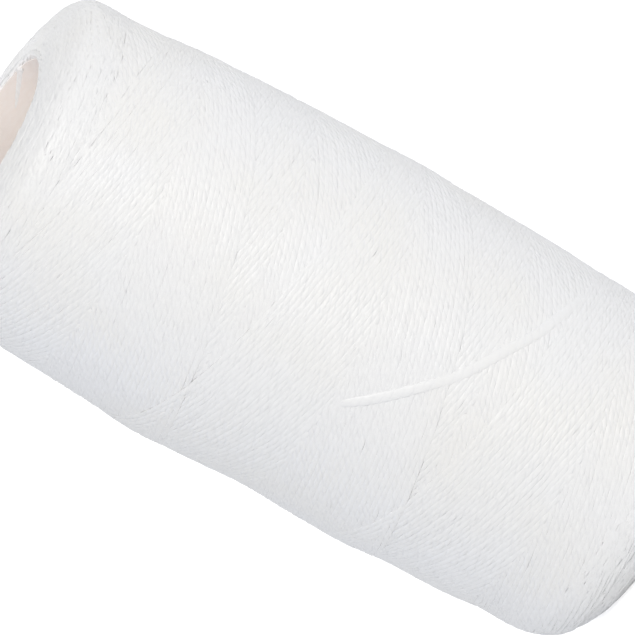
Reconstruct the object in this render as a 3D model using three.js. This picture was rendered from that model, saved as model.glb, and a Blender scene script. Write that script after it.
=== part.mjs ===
// A spool of waxed sewing thread: a parallel package, cross-wound on a paper tube with no flanges.
// Millimetres. +Z runs along the tube, and the spool stands on its lower end at z = 0.
import * as THREE from "three";

// The wound package
const PACKAGE_LENGTH = 88; // from end face to end face
const PACKAGE_DIAMETER = 42; // over the thread, at the middle
const END_FALL = 1.4; // how much less the radius is where a shoulder begins
const RIM_FLAT = 2; // width of the flat ring next to the tube, which it stands on
const SHOULDER_HEIGHT = 5; // length over which an end rounds off
const SHOULDER_DOME = 0.8; // how far the end has dropped at its control point
const SHOULDER_REACH = 3; // and how far in from the barrel that point lies

// The paper tube, from three plies that are glued one over another
const TUBE_DIAMETER = 23;
const TUBE_RECESS = 1; // how deep each end of the tube lies inside the package
const WRAP_PLY = 0.3;
const BOARD_PLY = 0.55;
const LINER_PLY = 0.3;
const GLUE_LINE = 0.05;

// The thread
const THREAD_DIAMETER = 0.5;
const SEAT_GAP = 0.3; // between a thread and what it lies on
const LAYER_RISE = 1.1; // between the two layers that cross, centre to centre

// The outer turns: each stroke climbs or descends the package, and the strokes cross
const STROKES = 8;
const TURNS_PER_STROKE = 2.875;
const STROKE_MARGIN = 5.5; // from an end face to where the thread turns back
const REVERSAL_ANGLE = THREE.MathUtils.degToRad(30); // half the angle over which it turns back
const CHANGE_ANGLE = THREE.MathUtils.degToRad(40); // half the angle over which it changes layer
const WIND_START = THREE.MathUtils.degToRad(-100); // where the outer turns begin, from +X
const WIND_STOP_SHORT = THREE.MathUtils.degToRad(20); // how far before the last reversal they end
const DIVE_STEPS = 3; // in the bend by which each end goes down into the package

// The finishing end lies over the turns, pulled under at both of its ends
const TAIL_DIAMETER = 0.7;
const TAIL_FROM_ANGLE = THREE.MathUtils.degToRad(-111);
const TAIL_FROM_HEIGHT = 42.5;
const TAIL_PULL_ANGLE = THREE.MathUtils.degToRad(-92); // where its run is pulled down to
const TAIL_PULL_HEIGHT = 30.5;
const TAIL_TO_ANGLE = THREE.MathUtils.degToRad(-34);
const TAIL_TO_HEIGHT = 20.2;

// The starting end is folded over the tube's upper rim and lies in the bore
const START_ANGLE = THREE.MathUtils.degToRad(33);
const START_SWEEP = THREE.MathUtils.degToRad(34);
const START_DEPTH = 2; // below the tube's rim

// Fineness
const ROUND_SEGMENTS = 72;
const BARREL_RINGS = 10;
const SHOULDER_RINGS = 6;
const TURN_STEPS = 24;
const TURN_SIDES = 6;
const END_SIDES = 8;
const TAIL_STEPS = 36;
const START_STEPS = 20;
const START_BEND_POINTS = 4;
const GAP_SAMPLES = 20; // on each step of the outer thread, to measure its gap to itself

const tubeRadius = TUBE_DIAMETER / 2;
const boreRadius = tubeRadius - WRAP_PLY - BOARD_PLY - LINER_PLY - 2 * GLUE_LINE;
const rimRadius = tubeRadius + SEAT_GAP;
const seatDepth = SEAT_GAP + THREAD_DIAMETER + LAYER_RISE; // of the bulk below the package's outline
const bulkRadius = PACKAGE_DIAMETER / 2 - seatDepth;
const middle = PACKAGE_LENGTH / 2;
const shoulderSpan = middle - SHOULDER_HEIGHT;
const shoulderRadius = bulkRadius - END_FALL;

/** Radius of the wound bulk on its barrel, at a height between the two shoulders. */
function barrelRadius(z) {
  return bulkRadius - END_FALL * ((z - middle) / shoulderSpan) ** 2;
}

/** A point at an angle about the tube's axis, at a radius and a height. */
function around(angle, radius, z) {
  return new THREE.Vector3(radius * Math.cos(angle), radius * Math.sin(angle), z);
}

/** A closed ring turned about +Z from an outline of [radius, height] points, anticlockwise. */
function turned(outline) {
  const points = [...outline, outline[0]].map(([r, z]) => new THREE.Vector2(r, z));
  return new THREE.LatheGeometry(points, ROUND_SEGMENTS).rotateX(Math.PI / 2);
}

/** One ply of the tube, between an inner and an outer radius. */
function plyGeometry(inner, outer) {
  const low = TUBE_RECESS;
  const high = PACKAGE_LENGTH - TUBE_RECESS;
  return turned([[inner, low], [outer, low], [outer, high], [inner, high]]);
}

/** The lower shoulder's outline, from the flat ring out to the barrel. */
function shoulderOutline() {
  const curve = new THREE.CubicBezierCurve(
    new THREE.Vector2(rimRadius + RIM_FLAT, 0),
    new THREE.Vector2(shoulderRadius - SHOULDER_REACH, SHOULDER_DOME),
    new THREE.Vector2(shoulderRadius, SHOULDER_HEIGHT / 3),
    new THREE.Vector2(shoulderRadius, SHOULDER_HEIGHT),
  );
  return curve.getPoints(SHOULDER_RINGS).map((p) => [p.x, p.y]);
}

/** The plain bulk of the package: all the turns below the outer ones. */
function bulkGeometry() {
  const lower = shoulderOutline();
  const upper = lower.map(([r, z]) => [r, PACKAGE_LENGTH - z]).reverse();
  const barrel = [];
  for (let i = 1; i < BARREL_RINGS; i++) {
    const z = middle + shoulderSpan * ((2 * i) / BARREL_RINGS - 1);
    barrel.push([barrelRadius(z), z]);
  }
  return turned([[rimRadius, 0], ...lower, ...barrel, ...upper, [rimRadius, PACKAGE_LENGTH]]);
}

const strokeAngle = TURNS_PER_STROKE * 2 * Math.PI;
const windAngle = STROKES * strokeAngle - WIND_STOP_SHORT;
const strokeRise = (PACKAGE_LENGTH - 2 * STROKE_MARGIN) / (strokeAngle - REVERSAL_ANGLE);

/** The signed angle to the nearest reversal, and which one it is: even ones are at the bottom. */
function reversalNear(wound) {
  const index = Math.round(wound / strokeAngle);
  return { index, past: wound - index * strokeAngle };
}

/** Height of the outer thread after it has wound through an angle. */
function windHeight(wound) {
  const { index, past } = reversalNear(wound);
  const off = Math.abs(past);
  const rounded = (strokeRise * off ** 2) / (2 * REVERSAL_ANGLE);
  const straight = strokeRise * (off - REVERSAL_ANGLE / 2);
  const rise = STROKE_MARGIN + (off < REVERSAL_ANGLE ? rounded : straight);
  return index % 2 === 0 ? rise : PACKAGE_LENGTH - rise;
}

/** 0 on the strokes that climb and 1 on those that descend over them, eased at each reversal. */
function windLayer(wound) {
  const { index, past } = reversalNear(wound);
  if (index === STROKES) return 1;
  const from = index === 0 ? 0 : -CHANGE_ANGLE;
  const eased = THREE.MathUtils.smoothstep(past, from, CHANGE_ANGLE);
  return index % 2 === 0 ? 1 - eased : eased;
}

/** Centre of the outer thread after it has wound through an angle. */
function windPoint(wound) {
  const z = windHeight(wound);
  const seat = barrelRadius(z) + SEAT_GAP + THREAD_DIAMETER / 2;
  return around(WIND_START + wound, seat + LAYER_RISE * windLayer(wound), z);
}

/** The bend and the straight end by which the thread goes down square to the bulk. */
function divePoints(wound, direction) {
  const top = windPoint(wound);
  const down = new THREE.Vector3(-top.x, -top.y, 0).normalize();
  const along = windPoint(wound + direction / ROUND_SEGMENTS).sub(top).normalize();
  const radius = LAYER_RISE - THREAD_DIAMETER / 2;
  const bend = Array.from({ length: DIVE_STEPS }, (_, i) => {
    const turn = ((i + 1) / DIVE_STEPS) * (Math.PI / 2);
    const point = top.clone().addScaledVector(along, radius * Math.sin(turn));
    return point.addScaledVector(down, radius * (1 - Math.cos(turn)));
  });
  return [...bend, bend[DIVE_STEPS - 1].clone().addScaledVector(down, THREAD_DIAMETER)];
}

/** Every centre point of the outer thread, from its start to its end. */
function windPoints() {
  const count = Math.round((windAngle / (2 * Math.PI)) * TURN_STEPS);
  const run = Array.from({ length: count + 1 }, (_, i) => windPoint((windAngle * i) / count));
  return [...divePoints(0, -1).reverse(), ...run, ...divePoints(windAngle, 1)];
}

/** The least gap of a thread to itself, over stretches that lie a third of a turn apart or more. */
function leastGap(points, diameter) {
  const samples = [];
  for (let i = 1; i < points.length; i++) {
    for (let k = 0; k < GAP_SAMPLES; k++) {
      samples.push(points[i - 1].clone().lerp(points[i], k / GAP_SAMPLES));
    }
  }
  const apart = Math.round((TURN_STEPS * GAP_SAMPLES) / 3);
  let least = Infinity;
  for (let i = apart; i < samples.length; i++) {
    for (let k = 0; k <= i - apart; k++) {
      least = Math.min(least, samples[i].distanceToSquared(samples[k]));
    }
  }
  return Math.sqrt(least) - diameter;
}

/** One unbroken tube of flat facets about a line of centre points that runs round the spool. */
function turnsGeometry(points, diameter, sides) {
  const positions = [];
  const faces = [];
  points.forEach((point, i) => {
    const before = points[Math.max(i - 1, 0)];
    const after = points[Math.min(i + 1, points.length - 1)];
    const along = after.clone().sub(before).normalize();
    const across = new THREE.Vector3(0, 0, 1);
    across.addScaledVector(along, -across.dot(along)).normalize();
    const out = new THREE.Vector3().crossVectors(along, across);
    for (let k = 0; k < sides; k++) {
      const turn = (2 * Math.PI * k) / sides;
      const corner = point.clone().addScaledVector(across, (diameter / 2) * Math.cos(turn));
      corner.addScaledVector(out, (diameter / 2) * Math.sin(turn));
      positions.push(...corner.toArray());
      if (i === points.length - 1) continue;
      const a = i * sides + k;
      const b = i * sides + ((k + 1) % sides);
      faces.push(a, b, a + sides, b, b + sides, a + sides);
    }
  });
  const last = (points.length - 1) * sides;
  for (let k = 1; k < sides - 1; k++) {
    faces.push(0, k + 1, k, last, last + k, last + k + 1);
  }
  const geometry = new THREE.BufferGeometry();
  geometry.setAttribute("position", new THREE.Float32BufferAttribute(positions, 3));
  geometry.setIndex(faces);
  geometry.computeVertexNormals();
  return geometry;
}

/** A thread's end: a round tube along a curve through the points given. */
function threadEndGeometry(points, diameter, steps) {
  const section = Array.from({ length: END_SIDES }, (_, k) => {
    const turn = (2 * Math.PI * k) / END_SIDES;
    return new THREE.Vector2((diameter / 2) * Math.cos(turn), (diameter / 2) * Math.sin(turn));
  });
  const extrudePath = new THREE.CatmullRomCurve3(points);
  return new THREE.ExtrudeGeometry(new THREE.Shape(section), { steps, extrudePath });
}

/** The finishing end, over the outer turns. */
function tailGeometry() {
  const run = new THREE.QuadraticBezierCurve(
    new THREE.Vector2(TAIL_FROM_ANGLE, TAIL_FROM_HEIGHT),
    new THREE.Vector2(TAIL_PULL_ANGLE, TAIL_PULL_HEIGHT),
    new THREE.Vector2(TAIL_TO_ANGLE, TAIL_TO_HEIGHT),
  );
  const points = run.getPoints(TAIL_STEPS).map(({ x: angle, y: z }) => {
    const outline = barrelRadius(z) + seatDepth;
    return around(angle, outline + SEAT_GAP + TAIL_DIAMETER / 2, z);
  });
  return threadEndGeometry(points, TAIL_DIAMETER, TAIL_STEPS);
}

/** The starting end: out of the bulk, over the tube's upper rim and down in the bore. */
function startGeometry() {
  const rim = PACKAGE_LENGTH - TUBE_RECESS;
  const clear = SEAT_GAP + THREAD_DIAMETER / 2;
  const points = [around(START_ANGLE, rimRadius - SEAT_GAP, rim + clear)];
  for (let i = 0; i <= START_BEND_POINTS; i++) {
    const turn = (i / START_BEND_POINTS) * (Math.PI / 2);
    const radius = boreRadius - clear * Math.sin(turn);
    points.push(around(START_ANGLE, radius, rim + clear * Math.cos(turn)));
  }
  for (let i = 1; i <= START_BEND_POINTS; i++) {
    const part = i / START_BEND_POINTS;
    const angle = START_ANGLE + START_SWEEP * part;
    points.push(around(angle, boreRadius - clear, rim - START_DEPTH * part));
  }
  return threadEndGeometry(points, THREAD_DIAMETER, START_STEPS);
}

/** A named piece with its own colour. */
function piece(name, geometry, color, roughness) {
  const material = new THREE.MeshStandardMaterial({ color, roughness, metalness: 0 });
  const mesh = new THREE.Mesh(geometry, material);
  mesh.name = name;
  return mesh;
}

/** The tube's three plies, from the bore outwards. */
function paperTube() {
  const boardInner = boreRadius + LINER_PLY + GLUE_LINE;
  const wrapInner = boardInner + BOARD_PLY + GLUE_LINE;
  const tube = new THREE.Group();
  tube.add(
    piece("tube_liner_ply", plyGeometry(boreRadius, boreRadius + LINER_PLY), 0xded6cb, 0.8),
    piece("tube_board_ply", plyGeometry(boardInner, boardInner + BOARD_PLY), 0xcbbfae, 0.9),
    piece("tube_wrap_ply", plyGeometry(wrapInner, tubeRadius), 0xd8cfc2, 0.9),
  );
  return tube;
}

/** The thread: its bulk, the turns that show, and its two ends. */
function thread() {
  const points = windPoints();
  console.log(`least gap of the outer turns: ${leastGap(points, THREAD_DIAMETER).toFixed(3)} mm`);
  const turns = turnsGeometry(points, THREAD_DIAMETER, TURN_SIDES);
  const wound = new THREE.Group();
  wound.add(
    piece("thread_bulk", bulkGeometry(), 0xf1f1f2, 0.6),
    piece("thread_outer_turns", turns, 0xf6f6f7, 0.55),
    piece("thread_finishing_end", tailGeometry(), 0xf6f6f7, 0.55),
    piece("thread_starting_end", startGeometry(), 0xf6f6f7, 0.55),
  );
  return wound;
}

const spool = new THREE.Group();
spool.add(paperTube(), thread());

export default spool;
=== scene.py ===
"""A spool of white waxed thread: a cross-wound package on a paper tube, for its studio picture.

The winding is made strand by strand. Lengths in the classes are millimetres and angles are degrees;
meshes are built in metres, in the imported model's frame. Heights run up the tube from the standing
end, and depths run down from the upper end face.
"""

import logging
import math
from dataclasses import dataclass, field
from enum import Enum
from typing import Sequence

import bpy
import numpy as np
from mathutils import Euler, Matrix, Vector


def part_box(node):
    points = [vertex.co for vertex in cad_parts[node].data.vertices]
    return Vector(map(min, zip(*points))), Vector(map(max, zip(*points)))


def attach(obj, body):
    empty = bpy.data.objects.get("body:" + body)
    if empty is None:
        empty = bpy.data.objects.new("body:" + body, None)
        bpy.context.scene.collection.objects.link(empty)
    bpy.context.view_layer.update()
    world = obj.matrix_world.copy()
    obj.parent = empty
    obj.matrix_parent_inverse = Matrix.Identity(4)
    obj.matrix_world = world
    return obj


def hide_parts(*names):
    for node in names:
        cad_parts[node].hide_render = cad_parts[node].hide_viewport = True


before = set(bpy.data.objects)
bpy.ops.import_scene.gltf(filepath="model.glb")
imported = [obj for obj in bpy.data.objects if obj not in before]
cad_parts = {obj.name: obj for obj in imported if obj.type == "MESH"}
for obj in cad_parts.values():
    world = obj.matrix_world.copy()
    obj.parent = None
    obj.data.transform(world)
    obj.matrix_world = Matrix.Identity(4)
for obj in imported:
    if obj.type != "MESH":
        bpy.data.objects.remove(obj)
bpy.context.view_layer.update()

Triple = tuple[float, float, float]
Pair = tuple[float, float]

LOG = logging.getLogger("thread_spool")
MM = 0.001
BODY = "root"
SEED = 28
WHITE = (1.0, 1.0, 1.0, 1.0)


def box_mm(node: str) -> tuple[np.ndarray, np.ndarray]:
    """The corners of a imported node.

    Args:
        node: The node's name.

    Returns:
        Its lowest and highest corner, in millimetres.
    """
    low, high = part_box(node)
    return np.array(low) / MM, np.array(high) / MM


def smooth(x: np.ndarray) -> np.ndarray:
    """An eased step from 0 at 0 to 1 at 1."""
    x = np.clip(x, 0.0, 1.0)
    return x * x * (3.0 - 2.0 * x)


def around(angle: np.ndarray, radius: np.ndarray, height: np.ndarray) -> np.ndarray:
    """Points about the tube's axis.

    Args:
        angle: Degrees from the camera's side of the spool, positive to its left.
        radius: Distance from the axis.
        height: Distance above the standing end.

    Returns:
        One row of X, Y and Z for each angle.
    """
    turn, radius, height = np.broadcast_arrays(np.radians(angle), radius, height)
    return np.stack([-radius * np.sin(turn), -radius * np.cos(turn), height], axis=-1)


def run_length(points: np.ndarray) -> np.ndarray:
    """Distance along a line of points, 0 at the first."""
    steps = np.linalg.norm(np.diff(points, axis=0), axis=1)
    return np.concatenate([[0.0], np.cumsum(steps)])


class PastEnd(Enum):
    """How a line of values goes on past its ends while it is softened, in numpy's words."""

    STRAIGHT = {"mode": "reflect", "reflect_type": "odd"}
    LEVEL = {"mode": "edge"}


def softened(values: np.ndarray, window: int, past: PastEnd) -> np.ndarray:
    """Rounds the corners of a line of values.

    Args:
        values: The line, in even steps.
        window: How many neighbours are averaged, an odd number.
        past: How the line goes on past its ends.

    Returns:
        The softened line, as long as it was.
    """
    kernel = np.hanning(window)
    kernel /= kernel.sum()
    return np.convolve(np.pad(values, window // 2, **past.value), kernel, mode="valid")


def placed(name: str, data: bpy.types.ID) -> bpy.types.Object:
    """Makes an object of a mesh, a lamp or a camera, and puts it in the scene."""
    made = bpy.data.objects.new(name, data)
    bpy.context.scene.collection.objects.link(made)
    return made


# --- Shape of the package ---------------------------------------------------------------------


@dataclass(frozen=True)
class EndRounding:
    """How one end rounds off: lengths of its shoulder's curve.

    From the middle the radius falls by fall to the depth height, where the shoulder begins. Its curve
    bends round a corner that lies at the depth dome, and reach inside the shoulder's radius.
    """

    fall: float
    dome: float
    reach: float
    height: float


@dataclass(frozen=True)
class Swelling:
    """A soft rise or hollow of the barrel, where layers bunch or thin out.

    It fades over breadth, an angle, and over reach, a length along the axis.
    """

    angle: float
    depth: float
    rise: float
    breadth: float
    reach: float

    def at(self, angle: np.ndarray, depth: np.ndarray) -> np.ndarray:
        """How far it lifts the surface at each angle and depth."""
        turn = np.mod(angle - self.angle + 180.0, 360.0) - 180.0
        return self.rise * np.exp(-((turn / self.breadth) ** 2) - ((depth - self.depth) / self.reach) ** 2)


@dataclass(frozen=True)
class PackageShape:
    """Outline of the wound package, over the highest strands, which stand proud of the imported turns.

    The winding meets the tube at its rim, and its end strands reach in to the mouth of the bore. On
    the camera's side the upper end lies lower there, by mouth_fall, which fades over mouth_breadth,
    an angle, and mouth_reach, a length.
    """

    length: float
    radius: float
    rim_radius: float
    mouth_radius: float
    rim_flat: float = 2.0
    mouth_fall: float = 0.75
    mouth_breadth: float = 65.0
    mouth_reach: float = 5.0
    upper: EndRounding = EndRounding(fall=1.55, dome=1.14, reach=2.5, height=4.2)
    lower: EndRounding = EndRounding(fall=1.12, dome=0.5, reach=4.15, height=7.75)
    swellings: tuple[Swelling, ...] = (
        Swelling(angle=80.0, depth=30.5, rise=0.25, breadth=42.0, reach=6.4),
        Swelling(angle=80.0, depth=45.0, rise=-0.45, breadth=42.0, reach=5.9),
        Swelling(angle=80.0, depth=64.0, rise=-0.2, breadth=42.0, reach=4.2),
        Swelling(angle=80.0, depth=76.5, rise=-0.25, breadth=42.0, reach=2.5),
        Swelling(angle=80.0, depth=80.0, rise=0.15, breadth=42.0, reach=4.2),
        Swelling(angle=-90.0, depth=12.0, rise=-0.25, breadth=50.0, reach=8.0),
        Swelling(angle=-90.0, depth=73.0, rise=-0.25, breadth=50.0, reach=7.0),
        Swelling(angle=-150.0, depth=25.0, rise=0.25, breadth=40.0, reach=6.0),
        Swelling(angle=-150.0, depth=58.0, rise=-0.3, breadth=40.0, reach=7.0),
    )
    proud: float = 0.25
    tube_gap: float = 0.3
    mouth_gap: float = -0.03
    shoulder_points: int = 60

    @classmethod
    def from_frame(cls) -> "PackageShape":
        """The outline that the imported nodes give, with its soft strands standing a little proud."""
        bulk_low, bulk_high = box_mm("thread_bulk")
        turns_low, turns_high = box_mm("thread_outer_turns")
        wrap_high = box_mm("tube_wrap_ply")[1]
        liner_high = box_mm("tube_liner_ply")[1]
        return cls(
            length=float(bulk_high[2] - bulk_low[2]),
            radius=float((turns_high[0] - turns_low[0]) / 2.0) + cls.proud,
            rim_radius=float(wrap_high[0]) + cls.tube_gap,
            mouth_radius=float(liner_high[0]) + cls.mouth_gap,
        )

    def mouth_dip(self, angle: np.ndarray, radius: np.ndarray) -> np.ndarray:
        """How much lower the upper end lies next to the bore, on the camera's side."""
        turn = np.mod(angle + 180.0, 360.0) - 180.0
        side = np.exp(-((turn / self.mouth_breadth) ** 4))
        return self.mouth_fall * side * (1.0 - smooth((radius - self.mouth_radius) / self.mouth_reach))

    def shoulder(self, end: EndRounding) -> tuple[np.ndarray, np.ndarray]:
        """Depth below an end face and radius, along its rounded shoulder."""
        edge = self.radius - end.fall
        corners = np.array([
            [0.0, self.rim_radius + self.rim_flat],
            [end.dome, edge - end.reach],
            [end.height / 3.0, edge],
            [end.height, edge],
        ])
        t = np.linspace(0.0, 1.0, self.shoulder_points)[:, None]
        weights = np.hstack([(1 - t) ** 3, 3 * t * (1 - t) ** 2, 3 * t**2 * (1 - t), t**3])
        depth, radius = (weights @ corners).T
        return depth, radius

    def half(self, end: EndRounding, from_end: np.ndarray) -> np.ndarray:
        """Radius of the outline at distances from one end, up to the middle."""
        middle = self.length / 2.0
        barrel = self.radius - end.fall * ((middle - from_end) / (middle - end.height)) ** 2
        depths, radii = self.shoulder(end)
        return np.where(from_end < end.height, np.interp(from_end, depths, radii), barrel)

    def radius_at(self, angle: np.ndarray, depth: np.ndarray) -> np.ndarray:
        """Radius of the outline.

        Args:
            angle: Angles about the axis.
            depth: Depths below the upper end face.

        Returns:
            The outline's radius at each.
        """
        upper, lower = self.half(self.upper, depth), self.half(self.lower, self.length - depth)
        radius = np.where(depth < self.length / 2.0, upper, lower)
        for swelling in self.swellings:
            radius = radius + swelling.at(angle, depth)
        return radius


@dataclass(frozen=True)
class EndPath:
    """Outline of one end as a path: up out of the bore, over the rim and down onto the barrel."""

    run: np.ndarray
    radius: np.ndarray
    depth: np.ndarray
    out_radius: np.ndarray
    out_up: np.ndarray

    @classmethod
    def of(cls, shape: PackageShape, end: EndRounding, wall: float, below: float) -> "EndPath":
        """Follows one end's outline.

        Args:
            shape: The package's outline.
            end: Which end, by its rounding.
            wall: Depth in the bore at which the path begins.
            below: Depth on the barrel at which it ends.

        Returns:
            The path in even steps, with its outward directions.
        """
        rim, corner, step = shape.mouth_radius, 0.3, 0.05
        barrel_step, least_barrel, softening = 0.2, 0.5, 11
        depths, radii = shape.shoulder(end)
        barrel = np.arange(end.height + barrel_step, max(below, end.height + least_barrel), barrel_step)
        radius = np.concatenate([[rim, rim, rim + corner], radii, shape.half(end, barrel)])
        depth = np.concatenate([[wall, corner, 0.0], depths, barrel])
        run = run_length(np.stack([radius, depth], axis=1))
        even = np.arange(0.0, run[-1], step)
        radius, depth = (
            softened(np.interp(even, run, values), softening, PastEnd.STRAIGHT) for values in (radius, depth)
        )
        along_radius, along_depth = np.gradient(radius), np.gradient(depth)
        size = np.hypot(along_radius, along_depth)
        return cls(even, radius, depth, along_depth / size, along_radius / size)

    def at(self, run: np.ndarray) -> tuple[np.ndarray, np.ndarray, np.ndarray, np.ndarray]:
        """Radius, depth, and the outward direction's two parts, at distances along the path."""
        columns = (self.radius, self.depth, self.out_radius, self.out_up)
        radius, depth, out_radius, out_up = (np.interp(run, self.run, column) for column in columns)
        return radius, depth, out_radius, out_up


# --- Strands ----------------------------------------------------------------------------------


@dataclass
class MeshData:
    """Vertices in millimetres, faces and one UV pair for each face corner."""

    vertices: list[np.ndarray] = field(default_factory=list)
    faces: list[list[int]] = field(default_factory=list)
    uvs: list[np.ndarray] = field(default_factory=list)
    count: int = 0

    def add(self, vertices: np.ndarray, faces: Sequence[Sequence[int]], uvs: np.ndarray) -> None:
        """Adds one closed shell.

        Args:
            vertices: Its points.
            faces: Its faces, counted from its own first point.
            uvs: One row for each face corner, in the order of the faces.
        """
        self.vertices.append(vertices)
        self.faces.extend([[i + self.count for i in face] for face in faces])
        self.uvs.append(uvs)
        self.count += len(vertices)

    def press(self, low: float, high: float) -> None:
        """Flattens what stands out past two heights, as a package's ends are by what they stand on."""
        for vertices in self.vertices:
            vertices[:, 2] = np.clip(vertices[:, 2], low, high)

    def to_object(self, name: str) -> bpy.types.Object:
        """Makes the mesh object, smooth-shaded, at the origin."""
        mesh = bpy.data.meshes.new(name)
        points = np.concatenate(self.vertices) * MM
        mesh.from_pydata(points.tolist(), [], self.faces)
        layer = mesh.uv_layers.new(name="strand")
        layer.data.foreach_set("uv", np.concatenate(self.uvs).astype(np.float32).ravel())
        mesh.polygons.foreach_set("use_smooth", [True] * len(mesh.polygons))
        mesh.update()
        return placed(name, mesh)


@dataclass(frozen=True)
class Section:
    """Cross-section of a strand, flattened against what it lies on.

    Its plies stand out by lobes, as a part of its size, and make one turn in the length lead.
    """

    width: float
    thickness: float
    sides: int = 8
    lobes: float = 0.0
    plies: float = 3.0
    lead: float = 3.6

    def sweep(self, data: MeshData, centres: np.ndarray, outward: np.ndarray, start: float,
              swell: np.ndarray | float = 0.0, tilt: np.ndarray | float = 0.0) -> float:
        """Adds one unbroken strand.

        Args:
            data: The mesh that it goes into.
            centres: Points along its middle.
            outward: At each point, the direction away from what it lies on.
            start: Length of thread before its first point, for its UVs.
            swell: At each point, how much thicker it is, as a part of its size.
            tilt: At each point, by how many degrees it is rolled about its middle.

        Returns:
            Length of thread at its last point.
        """
        count, sides = len(centres), self.sides
        along = np.gradient(centres, axis=0)
        along /= np.linalg.norm(along, axis=1, keepdims=True)
        across = np.cross(outward, along)
        across /= np.linalg.norm(across, axis=1, keepdims=True)
        out = np.cross(along, across)
        roll = np.radians(np.broadcast_to(tilt, count))[:, None]
        across, out = np.cos(roll) * across + np.sin(roll) * out, np.cos(roll) * out - np.sin(roll) * across
        run = start + run_length(centres)
        turn = 2.0 * np.pi * np.arange(sides) / sides
        ring = np.ones((count, sides)) + np.broadcast_to(swell, count)[:, None]
        if self.lobes:
            ring += self.lobes * np.cos(self.plies * (turn[None, :] + 2.0 * np.pi * run[:, None] / self.lead))
        x = ring * np.cos(turn) * self.width / 2.0
        y = ring * np.sin(turn) * self.thickness / 2.0
        points = centres[:, None] + x[..., None] * across[:, None] + y[..., None] * out[:, None]
        station, side = np.meshgrid(np.arange(count - 1), np.arange(sides), indexing="ij")
        station, side = station.ravel(), side.ravel()
        a, b = station * sides + side, station * sides + (side + 1) % sides
        quads = np.stack([a, b, b + sides, a + sides], axis=1)
        low, high = run[station], run[station + 1]
        v, v_next = side / sides, (side + 1) / sides
        quad_uv = np.stack([low, v, low, v_next, high, v_next, high, v], axis=1).reshape(-1, 2)
        last = (count - 1) * sides
        caps = [list(range(sides - 1, -1, -1)), list(range(last, last + sides))]
        cap_uv = np.array([[end, k / sides] for end in (run[0], run[-1]) for k in range(sides)])
        data.add(points.reshape(-1, 3), quads.tolist() + caps, np.concatenate([quad_uv, cap_uv]))
        return float(run[-1])


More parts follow.
